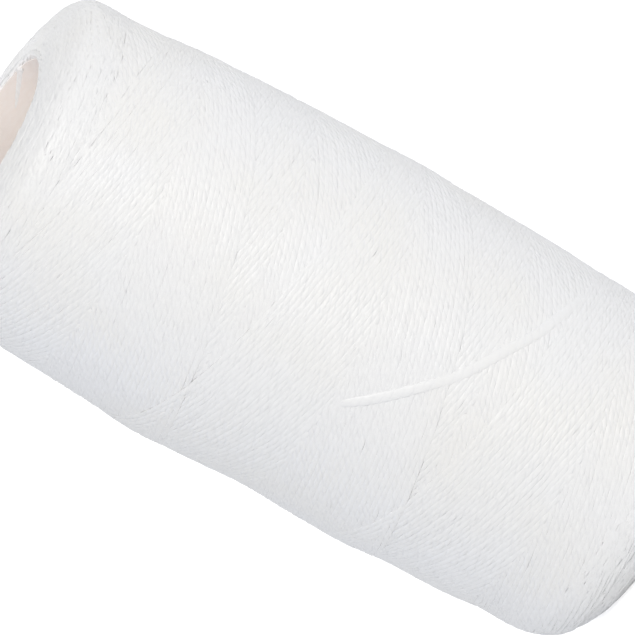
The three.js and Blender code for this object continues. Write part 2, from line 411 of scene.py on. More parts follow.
@dataclass
class WindingLaw:
    """How the traverse laid the thread: how fast it moved, where it turned back, and in which order.

    A cycle is one stroke down and one up. Each lies beside the one before it, so the strands of a
    stroke cross those of the other strokes at even steps.

    Layer, pressed, groove and tucked are depths by which strands lie lower: by the order in which
    they cross, on the two sides of the newest cycles' edge, and where they turn back. Scatter and
    uneven say how far reversals and cycles lie off their places. A strand also wanders a little,
    along the axis and in height, by a sum of slow waves that fades out towards the upper end.
    """

    shape: PackageShape
    rng: np.random.Generator
    advance: float = 28.36
    cycles: int = 48
    turns_per_stroke: int = 3
    upper_apex: float = 2.29
    newest_start: float = 43.9
    upper_rounding: float = 30.0
    lower_rounding: float = 70.0
    layer: float = 0.16
    pressed: float = 0.13
    groove: float = 0.12
    edge_cycles: float = 2.5
    tucked: float = 0.08
    tuck_reach: float = 20.0
    scatter: float = 0.5
    scatter_reach: float = 55.0
    uneven: float = 0.025
    axial_wander: float = 0.04
    axial_start: float = 90.0
    height_wander: float = 0.012
    height_start: float = 60.0
    wander_periods: tuple[float, ...] = (29.0, 61.0, 137.0, 410.0)
    wander_spread: float = 1.4
    end_dive: float = 1.2
    dive_samples: int = 11

    def __post_init__(self) -> None:
        """Draws how far each reversal lies off its place."""
        self.upper_shifts = self.rng.uniform(-self.scatter, self.scatter, self.cycles + 1)
        self.lower_shifts = self.rng.uniform(-self.scatter, self.scatter, self.cycles)

    @property
    def step(self) -> float:
        """Angle between two samples: strands of the two directions cross at each sample."""
        return 180.0 / self.cycles

    @property
    def stroke(self) -> float:
        """Angle of one stroke, before each cycle is set back by two steps."""
        return 360.0 * self.turns_per_stroke

    @property
    def lower_apex(self) -> float:
        """Depth at which the straight stretches of two strokes would meet at the lower end."""
        return self.upper_apex + self.advance * self.turns_per_stroke

    def samples(self) -> np.ndarray:
        """Angles wound since a cycle began, closer where a strand passes from under to over."""
        whole = np.arange(1, round(2.0 * self.stroke / self.step) - 1) * self.step
        half_turns = np.arange(1, 2 * self.turns_per_stroke) * 180.0
        halfway = self.step / 2.0
        return np.sort(np.concatenate([whole, half_turns + halfway, self.stroke + half_turns - halfway]))

    def rounded(self, off: np.ndarray, rounding: float) -> np.ndarray:
        """Angle off a reversal, eased where the thread turns back."""
        off = np.abs(off)
        return np.where(off < rounding, (off**2 + rounding**2) / (2.0 * rounding), off)

    def wander(self, off: np.ndarray, size: float) -> np.ndarray:
        """A slow random drift along a strand, about size millimetres each way."""
        waves = np.zeros_like(off)
        for period in self.wander_periods:
            waves += np.sin(2.0 * np.pi * (off / period + self.rng.random()))
        return waves * size / self.wander_spread

    def depth_of(self, index: int, off: np.ndarray) -> np.ndarray:
        """Depth of one cycle's strand at angles since it began."""
        fall = self.advance / 360.0
        down = off < self.stroke
        from_upper = np.where(down, off - self.step, 2.0 * self.stroke - self.step - off)
        from_lower = off - self.stroke
        near_upper = from_upper < self.stroke / 2.0
        upper = self.upper_apex + fall * (self.rounded(from_upper, self.upper_rounding) + self.step)
        lower = self.lower_apex - fall * self.rounded(from_lower, self.lower_rounding)
        depth = np.where(near_upper, upper, lower)
        shift = np.where(down, self.upper_shifts[index], self.upper_shifts[index + 1])
        depth += shift * np.exp(-((from_upper / self.scatter_reach) ** 2))
        depth += self.lower_shifts[index] * np.exp(-((from_lower / self.scatter_reach) ** 2))
        offset = self.rng.normal(0.0, self.uneven) + self.wander(off, self.axial_wander)
        return depth + smooth(from_upper / self.axial_start) * offset

    def valley(self, age: np.ndarray) -> np.ndarray:
        """How much deeper strands lie beside the newest cycles' edge, by their age from 0 to 1."""
        newest = self.pressed * np.exp(-age * self.cycles / self.edge_cycles)
        oldest = self.groove * np.exp(-(1.0 - age) * self.cycles / self.edge_cycles)
        return newest + oldest

    def sunk_of(self, index: int, off: np.ndarray) -> np.ndarray:
        """How far below the outline one cycle's strand lies, by what lies over it."""
        down = off < self.stroke
        own = (self.cycles - 1 - index + 0.5) / self.cycles
        crossing = np.mod(np.where(down, off, off - self.stroke) / 180.0, 1.0)
        other = np.mod(own + crossing, 1.0)
        gap = np.where(down, other - own, own - other) * self.cycles
        under = np.where(down, 1.0 - smooth(2.0 * gap), smooth(2.0 * gap - 1.0))
        sunk = self.layer * (own + other + under) + self.valley(own)
        from_upper = np.minimum(off, 2.0 * self.stroke - off)
        from_end = np.minimum(from_upper, np.abs(off - self.stroke))
        sunk += self.tucked * np.exp(-((from_end / self.tuck_reach) ** 2))
        return sunk + smooth(from_upper / self.height_start) * self.wander(off, self.height_wander)

    def path(self) -> tuple[np.ndarray, np.ndarray, np.ndarray, np.ndarray]:
        """The whole thread of the outer layers, oldest first.

        Returns:
            Angle, depth, how far below the outline, and the index of the cycle, at each sample.
        """
        off = self.samples()
        columns = []
        for index in range(self.cycles):
            newer = self.cycles - 1 - index
            start = self.newest_start + 2.0 * self.step * newer
            start -= 2.0 * self.stroke * newer
            which = np.full_like(off, index)
            columns.append((start + off, self.depth_of(index, off), self.sunk_of(index, off), which))
        angle, depth, sunk, which = (np.concatenate(column) for column in zip(*columns))
        dive = self.end_dive * smooth(np.linspace(1.0, 0.0, self.dive_samples))
        sunk[:self.dive_samples] += dive
        sunk[-self.dive_samples:] += dive[::-1]
        return angle, depth, sunk, which

    def sunk_backing(self, angle: np.ndarray, depth: np.ndarray) -> np.ndarray:
        """How far below the outline the lower of the two crossing layers lies."""
        newest_down = self.upper_apex + self.advance * (angle - self.newest_start) / 360.0
        newest_up = self.upper_apex - self.advance * (angle - self.newest_start) / 360.0
        age_down = np.mod((newest_down - depth) / self.advance, 1.0)
        age_up = np.mod((depth - newest_up) / self.advance, 1.0)
        return self.layer * (1.0 + age_down + age_up) + self.valley(age_down) + self.valley(age_up)


# --- Finishes ---------------------------------------------------------------------------------


class Twist(Enum):
    """Hand of a twisted thread, as the slant of its plies."""

    S = -1.0
    Z = 1.0


@dataclass
class NodeMaker:
    """Short hand for wiring nodes in a material or a group."""

    tree: bpy.types.NodeTree

    def put(self, kind: str, **values: object) -> bpy.types.Node:
        """Adds a node and sets its own options."""
        node = self.tree.nodes.new(kind)
        for key, value in values.items():
            setattr(node, key, value)
        return node

    def feed(self, socket: bpy.types.NodeSocket, value: object) -> None:
        """Links a socket, or sets it to a number or a colour."""
        if isinstance(value, bpy.types.NodeSocket):
            self.tree.links.new(value, socket)
        else:
            socket.default_value = value

    def feed_all(self, node: bpy.types.Node, inputs: dict[str, object]) -> None:
        """Feeds several of a node's inputs, by their names."""
        for name, value in inputs.items():
            self.feed(node.inputs[name], value)

    def math(self, operation: str, first: object, second: object = 0.0) -> bpy.types.NodeSocket:
        """One Math node."""
        node = self.put("ShaderNodeMath", operation=operation)
        self.feed(node.inputs[0], first)
        self.feed(node.inputs[1], second)
        return node.outputs[0]

    def noise(self, vector: bpy.types.NodeSocket, scale: object, detail: float) -> bpy.types.NodeSocket:
        """The value of a Noise Texture, about 0.5."""
        node = self.put("ShaderNodeTexNoise")
        self.feed_all(node, {"Vector": vector, "Scale": scale, "Detail": detail})
        return node.outputs["Fac"]

    def stretched(self, vector: bpy.types.NodeSocket, scale: Triple) -> bpy.types.NodeSocket:
        """Coordinates stretched along their axes."""
        node = self.put("ShaderNodeMapping")
        self.feed_all(node, {"Vector": vector, "Scale": scale})
        return node.outputs["Vector"]

    def ramp(self, value: bpy.types.NodeSocket, low: float, high: float) -> bpy.types.NodeSocket:
        """A value stretched so that low is 0 and high is 1."""
        node = self.put("ShaderNodeMapRange")
        self.feed_all(node, {"Value": value, "From Min": low, "From Max": high})
        return node.outputs["Result"]

    def mix(self, factor: object, first: object, second: object) -> bpy.types.NodeSocket:
        """A colour between two."""
        node = self.put("ShaderNodeMix", data_type="RGBA")
        self.feed_all(node, {"Factor": factor, "A": first, "B": second})
        return node.outputs["Result"]

    def bump(self, height: bpy.types.NodeSocket, relief: float) -> bpy.types.NodeSocket:
        """A normal bent by a height, of a relief in millimetres."""
        node = self.put("ShaderNodeBump")
        self.feed_all(node, {"Height": height, "Distance": relief * MM})
        return node.outputs["Normal"]


def new_material(name: str) -> tuple[bpy.types.Material, NodeMaker, bpy.types.Node]:
    """A new material, with its wiring and its Principled BSDF."""
    material = bpy.data.materials.new(name)
    material.use_nodes = True
    return material, NodeMaker(material.node_tree), material.node_tree.nodes["Principled BSDF"]


def ply_group() -> bpy.types.NodeTree:
    """The group that turns a strand's UVs into twisted plies with their fibres.

    Returns:
        The group, with UV, Lead, Plies, Slant and Unevenness in, and Height and Crease out; Crease
        masks the painted shade in the creases between plies.
    """
    slow, patchy, fibrous = (0.45, 1.5, 1.0), (0.7, 2.5, 1.0), (1.3, 16.0, 1.0)
    weak, strong, least_ridge, fibre_height, crease_sharpness = 0.3, 0.65, 0.25, 0.7, 3.0
    group = bpy.data.node_groups.new("twisted_plies", "ShaderNodeTree")
    group.interface.new_socket("UV", in_out="INPUT", socket_type="NodeSocketVector")
    for name, value in (("Lead", 3.6), ("Plies", 3.0), ("Slant", 1.0), ("Unevenness", 0.3)):
        group.interface.new_socket(name, in_out="INPUT", socket_type="NodeSocketFloat").default_value = value
    for name in ("Height", "Crease"):
        group.interface.new_socket(name, in_out="OUTPUT", socket_type="NodeSocketFloat")
    make = NodeMaker(group)
    given, result = make.put("NodeGroupInput"), make.put("NodeGroupOutput")
    uv = given.outputs["UV"]
    split = make.put("ShaderNodeSeparateXYZ")
    make.feed(split.inputs[0], uv)
    drift = make.math("SUBTRACT", make.noise(make.stretched(uv, slow), 1.0, 1.0), 0.5)
    drift = make.math("MULTIPLY", drift, given.outputs["Unevenness"])
    turns = make.math("DIVIDE", split.outputs["X"], given.outputs["Lead"])
    turns = make.math("MULTIPLY", turns, given.outputs["Slant"])
    place = make.math("ADD", make.math("ADD", turns, split.outputs["Y"]), drift)
    phase = make.math("MULTIPLY", place, given.outputs["Plies"])
    ridge = make.math("ABSOLUTE", make.math("SINE", make.math("MULTIPLY", phase, math.pi)))
    strength = make.ramp(make.noise(make.stretched(uv, patchy), 1.0, 1.0), weak, strong)
    fibres = make.noise(make.stretched(uv, fibrous), 1.0, 2.0)
    height = make.math("MULTIPLY", ridge, make.math("ADD", strength, least_ridge))
    height = make.math("ADD", height, make.math("MULTIPLY", fibres, fibre_height))
    # Painted shade: this mask darkens the colour in the hollows between plies, more strongly in patches.
    crease_shade = make.math("POWER", make.math("SUBTRACT", 1.0, ridge), crease_sharpness)
    make.feed_all(result, {"Height": height, "Crease": make.math("MULTIPLY", crease_shade, strength)})
    return group


def tone_group() -> bpy.types.NodeTree:
    """The group of soft tone patches that thread and paper share.

    Returns:
        The group, with Size in, in millimetres, and Patch out.
    """
    none, full = 0.42, 0.68
    group = bpy.data.node_groups.new("tone_patches", "ShaderNodeTree")
    group.interface.new_socket("Size", in_out="INPUT", socket_type="NodeSocketFloat").default_value = 10.0
    group.interface.new_socket("Patch", in_out="OUTPUT", socket_type="NodeSocketFloat")
    make = NodeMaker(group)
    given, result = make.put("NodeGroupInput"), make.put("NodeGroupOutput")
    place = make.put("ShaderNodeTexCoord")
    scale = make.math("DIVIDE", 1.0 / MM, given.outputs["Size"])
    blotches = make.noise(place.outputs["Object"], scale, 3.0)
    make.feed(result.inputs["Patch"], make.ramp(blotches, none, full))
    return group


@dataclass(frozen=True)
class ThreadFinish:
    """White waxed polyester thread, with painted shade in the creases between its plies, warmer in patches.
    """

    name: str
    color: Triple = (0.95, 0.95, 0.955)
    # Colour of the painted shade in the creases between plies.
    shade: Triple = (0.90, 0.90, 0.91)
    warm: Triple = (0.95, 0.942, 0.925)
    roughness: float = 0.33
    sheen: float = 0.15
    sheen_roughness: float = 0.4
    twist: Twist = Twist.Z
    lead: float = 4.5
    relief: float = 0.045
    unevenness: float = 0.35
    patch: float = 14.0

    def build(self, plies: bpy.types.NodeTree, tones: bpy.types.NodeTree) -> bpy.types.Material:
        """Makes the material.

        Args:
            plies: The shared group of twisted plies.
            tones: The shared group of soft patches.

        Returns:
            The node material.
        """
        material, make, shader = new_material(self.name)
        uv = make.put("ShaderNodeUVMap", uv_map="strand")
        strand = make.put("ShaderNodeGroup", node_tree=plies)
        make.feed_all(strand, {
            "UV": uv.outputs["UV"],
            "Lead": self.lead,
            "Slant": self.twist.value,
            "Unevenness": self.unevenness,
        })
        patches = make.put("ShaderNodeGroup", node_tree=tones)
        make.feed(patches.inputs["Size"], self.patch)
        tint = make.mix(patches.outputs["Patch"], (*self.color, 1.0), (*self.warm, 1.0))
        # Painted shade: the colour turns to the shade colour in the creases between plies.
        color = make.mix(strand.outputs["Crease"], tint, (*self.shade, 1.0))
        make.feed_all(shader, {
            "Base Color": color,
            "Normal": make.bump(strand.outputs["Height"], self.relief),
            "Roughness": self.roughness,
            "Sheen Weight": self.sheen,
            "Sheen Roughness": self.sheen_roughness,
        })
        return material


@dataclass(frozen=True)
class PaperFinish:
    """Uncoated paper of the tube, whose flecks are its paler fibres and, for the rest, soft blotches."""

    name: str
    color: Triple
    fleck: Triple
    roughness: float = 0.8
    fibre: float = 0.02
    grain: Triple = (1.0, 1.0, 3.0)
    fineness: float = 900.0
    fleck_levels: Pair = (0.35, 0.65)
    fleck_share: float = 0.6
    patch: float = 4.0

    def build(self, tones: bpy.types.NodeTree) -> bpy.types.Material:
        """Makes the material: short pale fibres, soft blotches and a faint tooth.

        Args:
            tones: The shared group of soft patches.

        Returns:
            The node material.
        """
        material, make, shader = new_material(self.name)
        place = make.put("ShaderNodeTexCoord")
        fibres = make.noise(make.stretched(place.outputs["Object"], self.grain), self.fineness, 4.0)
        patches = make.put("ShaderNodeGroup", node_tree=tones)
        make.feed(patches.inputs["Size"], self.patch)
        flecks = make.math("MULTIPLY", make.ramp(fibres, *self.fleck_levels), self.fleck_share)
        blotches = make.math("MULTIPLY", patches.outputs["Patch"], 1.0 - self.fleck_share)
        flecks = make.math("ADD", flecks, blotches)
        make.feed_all(shader, {
            "Base Color": make.mix(flecks, (*self.color, 1.0), (*self.fleck, 1.0)),
            "Normal": make.bump(fibres, self.fibre),
            "Roughness": self.roughness,
        })
        return material


@dataclass
class Finishes:
    """Every material of the spool."""

    thread: bpy.types.Material
    thread_end: bpy.types.Material
    liner: bpy.types.Material
    board: bpy.types.Material
    wrap: bpy.types.Material

    @classmethod
    def build(cls) -> "Finishes":
        """Makes the materials, with their shared groups."""
        plies, tones = ply_group(), tone_group()
        return cls(
            thread=ThreadFinish("waxed_thread").build(plies, tones),
            thread_end=ThreadFinish("waxed_thread_end", lead=3.6, relief=0.03).build(plies, tones),
            liner=PaperFinish("liner_paper", (0.94, 0.87, 0.83), (0.96, 0.91, 0.88)).build(tones),
            board=PaperFinish("tube_board", (0.62, 0.54, 0.46), (0.70, 0.62, 0.54)).build(tones),
            wrap=PaperFinish("wrap_paper", (0.72, 0.64, 0.57), (0.78, 0.71, 0.65)).build(tones),
        )


def dress(piece: bpy.types.Object, material: bpy.types.Material, slot: str, *nodes: str) -> None:
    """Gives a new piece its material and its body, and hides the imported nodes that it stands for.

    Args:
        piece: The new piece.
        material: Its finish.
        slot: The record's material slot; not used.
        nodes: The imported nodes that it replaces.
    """
    piece.data.materials.clear()
    piece.data.materials.append(material)
    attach(piece, BODY)
    if nodes:
        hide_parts(*nodes)
    LOG.info("%s: %d faces", piece.name, len(piece.data.polygons))


# --- The winding ------------------------------------------------------------------------------


@dataclass
class OuterWinding:
    """The strands that show on the barrel: one thread, cut into runs of whole cycles.

    Swell and tilt say how much its thickness and its roll vary.
    """

    shape: PackageShape
    law: WindingLaw
    section: Section = Section(width=0.89, thickness=0.29, sides=8)
    runs: int = 3
    swell: float = 0.035
    tilt: float = 4.0

    def build(self, finishes: Finishes) -> None:
        """Makes the runs, oldest cycles first."""
        angle, depth, sunk, which = self.law.path()
        radius = self.shape.radius_at(angle, depth) - self.section.thickness / 2.0 - sunk
        centres = around(angle, radius, self.shape.length - depth)
        outward = around(angle, np.ones_like(angle), np.zeros_like(angle))
        swell = self.law.rng.normal(0.0, self.swell, len(angle))
        tilt = self.law.rng.normal(0.0, self.tilt, len(angle))
        per_run = self.law.cycles // self.runs
        wound = 0.0
        for run in range(self.runs):
            part = np.flatnonzero((which >= run * per_run) & (which < (run + 1) * per_run))
            if run:
                part = np.concatenate([[part[0] - 1], part])
            data = MeshData()
            wound = self.section.sweep(data, centres[part], outward[part], wound, swell[part], tilt[part])
            piece = data.to_object(f"outer_thread_run_{run + 1}")
            nodes = () if run else ("thread_outer_turns",)
            dress(piece, finishes.thread, "thread_outer_turns", *nodes)
        LOG.info("thread on the outer layers: %.1f m", wound * MM)


@dataclass
class PackedBulk:
    """What lies below the outer strands: a closed ring that follows the lower of the two layers.

    The strands are buried in it a little, and its domes lie dome_cover below the ends' outlines.
    """

    shape: PackageShape
    law: WindingLaw
    strand: Section
    around_count: int = 240
    along_count: int = 150
    buried: float = 0.2
    dome_cover: float = 0.36
    dome_depth: float = 1.9
    dome_rings: int = 14
    wall: float = 1.0
    barrel_start: float = 3.0

    def dome(self, upper: bool, angle: np.ndarray) -> list[tuple[np.ndarray, np.ndarray]]:
        """Radius and depth of the rings below one end's strands, from the tube outwards."""
        end = self.shape.upper if upper else self.shape.lower
        path = EndPath.of(self.shape, end, self.wall, self.dome_depth)
        first = path.run[path.radius > self.shape.rim_radius][0]
        last = path.run[path.depth < self.dome_depth][-1]
        rings = []
        for radius, depth, out_radius, out_up in zip(*path.at(np.linspace(first, last, self.dome_rings))):
            radius = np.full_like(angle, radius - self.dome_cover * out_radius)
            depth = np.full_like(angle, depth + self.dome_cover * out_up)
            rings.append((radius, depth + self.shape.mouth_dip(angle, radius) * upper))
        return rings

    def build(self, finishes: Finishes) -> None:
        """Makes the ring from a grid about the axis."""
        n, length = self.around_count, self.shape.length
        angle = np.arange(n) * 360.0 / n
        depth = np.linspace(self.barrel_start, length - self.barrel_start, self.along_count)
        grid_angle, grid_depth = np.meshgrid(angle, depth)
        sunk = self.law.sunk_backing(grid_angle, grid_depth)
        for shift in (-1, 1):
            sunk = np.maximum(sunk, np.roll(sunk, shift, axis=1))
        padded = np.pad(sunk, ((1, 1), (0, 0)), mode="edge")
        sunk = np.maximum(sunk, np.maximum(padded[:-2], padded[2:]))
        outline = self.shape.radius_at(grid_angle, grid_depth)
        radius = outline - self.strand.thickness - sunk + self.buried
        rings = self.dome(True, angle)
        rings += [(radius[i], np.full(n, depth[i])) for i in range(self.along_count)]
        rings += [(r, length - d) for r, d in reversed(self.dome(False, angle))]
        points = np.concatenate([around(angle, r, length - d) for r, d in rings])
        faces = []
        for i in range(len(rings)):
            j = (i + 1) % len(rings)
            for k in range(n):
                m = (k + 1) % n
                faces.append([i * n + k, i * n + m, j * n + m, j * n + k])
        data = MeshData()
        data.add(points, faces, np.zeros((4 * len(faces), 2)))
        piece = data.to_object("packed_bulk")
        dress(piece, finishes.thread, "thread_bulk", "thread_bulk")


@dataclass
class EndFace:
    """The reversals of the inner layers, which make a package's domed end and its rim at the bore.

    They lie in rows along the end's outline, which starts in the bore at the depth wall. Rows lie a
    little deeper from the depth face_start on, and much deeper under the barrel's strands, from the
    shoulder's lower edge or early above it. A reversal lies off its place at random, drops away from
    its middle and is tucked under at its ends. Laps are the innermost strands, which come up out of
    the bore and over the rim.
    """

    shape: PackageShape
    law: WindingLaw
    upper: bool
    section: Section = Section(width=0.86, thickness=0.30, sides=6)
    row_pitch: float = 0.37
    first_row: float = -1.1
    last_margin: float = 0.2
    arc_pitch: float = 4.6
    half_length: Pair = (8.0, 13.0)
    steps: int = 12
    face_buried: float = 0.06
    face_start: float = 1.2
    face_reach: float = 1.0
    barrel_buried: float = 0.42
    barrel_reach: float = 4.5
    early: float = 0.0
    drop: float = 0.004
    tuck: float = 0.25
    tuck_power: int = 6
    turn_back: float = 0.011
    off_place: float = 0.35
    off_row: float = 0.12
    slant: float = 0.02
    off_depth: float = 0.06
    wall: float = 1.0
    below: float = 4.3
    lap_pitch: float = 1.15
    lap_points: int = 10
    lap_slant: Pair = (2.4, 3.6)
    lap_start: float = 0.1
    lap_length: Pair = (1.5, 1.9)
    lap_dive: float = 0.4
    lap_proud: Pair = (0.02, 0.09)
    lap_off_place: float = 0.25
    tilt: float = 5.0
    thread_before: float = 90.0

    def build(self, finishes: Finishes) -> None:
        """Makes all the reversals of one end."""
        rng = self.law.rng
        end = self.shape.upper if self.upper else self.shape.lower
        flush = end.height - self.early
        path = EndPath.of(self.shape, end, self.wall, flush + self.below)
        data = MeshData()
        for run in np.arange(self.first_row, path.run[-1] - self.last_margin, self.row_pitch):
            radius, depth = (float(value) for value in path.at(run)[:2])
            buried = self.face_buried * float(smooth((depth - self.face_start) / self.face_reach))
            buried += self.barrel_buried * float(smooth((depth - flush) / self.barrel_reach))
            count = int(2.0 * math.pi * radius / self.arc_pitch)
            phase = rng.uniform(0.0, 360.0)
            for i in range(count):
                middle = phase + 360.0 * (i + rng.uniform(-self.off_place, self.off_place)) / count
                half = rng.uniform(*self.half_length)
                s = np.linspace(-half, half, self.steps + 1)
                along = run + rng.uniform(-self.off_row, self.off_row)
                along = along + rng.uniform(-self.slant, self.slant) * s + self.turn_back * s**2
                sunk = buried + rng.uniform(0.0, self.off_depth)
                sunk = sunk + self.drop * s**2 + self.tuck * (s / half) ** self.tuck_power
                self.lay(data, path, along, middle + np.degrees(s / radius), sunk, rng)
        self.laps(data, path, rng)
        data.press(0.0, self.shape.length)
        piece = data.to_object("upper_end_reversals" if self.upper else "lower_end_reversals")
        dress(piece, finishes.thread, "thread_bulk")

    def laps(self, data: MeshData, path: EndPath, rng: np.random.Generator) -> None:
        """The innermost strands, which come up out of the bore and lap over the rim at a slant."""
        count = int(2.0 * math.pi * self.shape.mouth_radius / self.lap_pitch)
        t = np.linspace(0.0, 1.0, self.lap_points)
        for i in range(count):
            s = rng.uniform(*self.lap_slant) * (t - 0.5) * (1.0 + t)
            along = self.lap_start + rng.uniform(*self.lap_length) * t
            sunk = self.lap_dive * (2.0 * t - 1.0) ** 2 - rng.uniform(*self.lap_proud)
            middle = 360.0 * (i + rng.uniform(-self.lap_off_place, self.lap_off_place)) / count
            self.lay(data, path, along, middle + np.degrees(s / self.shape.mouth_radius), sunk, rng)

    def lay(self, data: MeshData, path: EndPath, along: np.ndarray, angle: np.ndarray,
            sunk: np.ndarray, rng: np.random.Generator) -> None:
        """Lays one strand on the end.

        Args:
            data: The mesh that it goes into.
            path: The end's outline.
            along: Where its points lie on that outline.
            angle: Their angles about the axis.
            sunk: How far its surface lies below the outline.
            rng: Source of the small irregularities.
        """
        radius, depth, out_radius, out_up = path.at(along)
        sunk = sunk + self.section.thickness / 2.0
        radius, depth = radius - out_radius * sunk, depth + out_up * sunk
        depth = depth + self.shape.mouth_dip(angle, radius) * self.upper
        height = self.shape.length - depth if self.upper else depth
        centres = around(angle, radius, height)
        outward = around(angle, out_radius, out_up if self.upper else -out_up)
        tilt = rng.normal(0.0, self.tilt, len(angle))
        self.section.sweep(data, centres, outward, rng.uniform(0.0, self.thread_before), 0.0, tilt)


@dataclass
class LooseEnds:
    """The thread's two ends: one over the winding, one folded into the bore.

    The tail's run is its angle and height at corners, which are then softened. It comes out of the
    winding over rise_part of its length, narrowed there, and goes under again over sink_part. The
    starting end comes over the rim at start_angle, bends, and runs through start_sweep along the
    bore's wall. Before the rim it is given by its angle, its length past the mouth and its height
    over the rim, and in the bend and on the wall by a first and a last value and a number of points.
    """

    shape: PackageShape
    law: WindingLaw
    tail: Section = Section(width=1.3, thickness=0.5, sides=18, lobes=0.04)
    tail_run: tuple[Pair, ...] = (
        (22.5, 43.2), (20.4, 42.35), (16.1, 40.2), (7.7, 36.8), (-5.8, 31.7), (-18.3, 28.6), (-31.0, 25.4),
        (-49.9, 22.2), (-61.6, 20.7), (-78.0, 18.9),
    )
    tail_points: int = 200
    degree_length: float = 0.36
    course_softening: int = 31
    seat: float = -0.2
    seat_softening: int = 21
    bury: float = 0.45
    rise_part: float = 0.05
    sink_part: float = 0.22
    narrowed: float = 0.4
    narrow_part: float = 0.11
    start: Section = Section(width=0.9, thickness=0.13, sides=12, lobes=0.03)
    start_angle: float = -124.0
    start_sweep: float = -34.0
    start_over_rim: tuple[Triple, ...] = ((5.0, 0.9, 0.05), (3.0, 0.3, 0.095))
    start_inset: float = 0.3
    start_lift: float = 0.5
    bend_angles: tuple[float, float, int] = (10.0, 80.0, 5)
    bend_gap: float = 0.05
    wall_parts: tuple[float, float, int] = (0.08, 1.0, 14)
    wall_seat: float = 0.6
    step: float = 0.25
    fray: float = 1.2
    fray_taper: float = 0.5

    def tail_path(self) -> tuple[np.ndarray, np.ndarray]:
        """Angle and depth along the finishing end, rounded where its course changes."""
        corners = np.array(self.tail_run)
        part = np.linspace(0.0, 1.0, self.tail_points)
        given = run_length(corners * [self.degree_length, 1.0])
        angle, height = (
            softened(np.interp(part, given / given[-1], column), self.course_softening, PastEnd.STRAIGHT)
            for column in corners.T
        )
        return angle, self.shape.length - height

    def build(self, finishes: Finishes) -> None:
        """Makes both ends."""
        tail, start = self.tail_object(), self.start_object()
        dress(tail, finishes.thread_end, "thread_finishing_end", "thread_finishing_end")
        dress(start, finishes.thread_end, "thread_starting_end", "thread_starting_end")

    def tail_object(self) -> bpy.types.Object:
        """The finishing end, which lies on the outer strands between its two buried ends."""
        angle, depth = self.tail_path()
        part = np.linspace(0.0, 1.0, len(angle))
        shown = smooth(part / self.rise_part) * smooth((1.0 - part) / self.sink_part)
        seat = self.shape.radius_at(angle, depth) - self.law.sunk_backing(angle, depth) + self.law.layer
        seat = softened(seat, self.seat_softening, PastEnd.LEVEL)
        radius = seat + self.tail.thickness * self.seat - (1.0 - shown) * self.bury
        centres = around(angle, radius, self.shape.length - depth)
        outward = around(angle, np.ones_like(angle), np.zeros_like(angle))
        data = MeshData()
        self.tail.sweep(data, centres, outward, 0.0, -self.narrowed * smooth(1.0 - part / self.narrow_part))
        return data.to_object("finishing_end")

    def start_object(self) -> bpy.types.Object:
        """The starting end, over the tube's rim and down its bore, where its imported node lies."""
        tip = box_mm("thread_starting_end")[0][2]
        liner = box_mm("tube_liner_ply")[1]
        bore, rim = liner[0] - self.start_inset, liner[2] + self.start_lift
        half = self.start.thickness / 2.0
        first, mouth = self.start_angle, self.shape.mouth_radius
        route = [(first + back, mouth + past, rim + over) for back, past, over in self.start_over_rim]
        for turn in np.radians(np.linspace(*self.bend_angles)):
            route.append((first, bore - half * math.sin(turn) + self.bend_gap, rim + half * math.cos(turn)))
        for t in np.linspace(*self.wall_parts):
            seat = half * (self.wall_seat + (1.0 - self.wall_seat) * t)
            route.append((first + self.start_sweep * t, bore + seat, rim + (tip + half - rim) * t))
        centres = around(*np.array(route).T)
        lengths = run_length(centres)
        even = np.linspace(0.0, lengths[-1], int(lengths[-1] / self.step))
        centres = np.stack([np.interp(even, lengths, centres[:, k]) for k in range(3)], axis=1)
        inward = -centres * [1.0, 1.0, 0.0]
        inward /= np.linalg.norm(inward, axis=1, keepdims=True)
        inward[centres[:, 2] > rim] += [0.0, 0.0, 1.0]
        data = MeshData()
        frayed = -self.fray_taper * smooth((even - even[-1] + self.fray) / self.fray) ** 2
        self.start.sweep(data, centres, inward, 0.0, frayed)
        return data.to_object("starting_end")


# --- The tube ---------------------------------------------------------------------------------


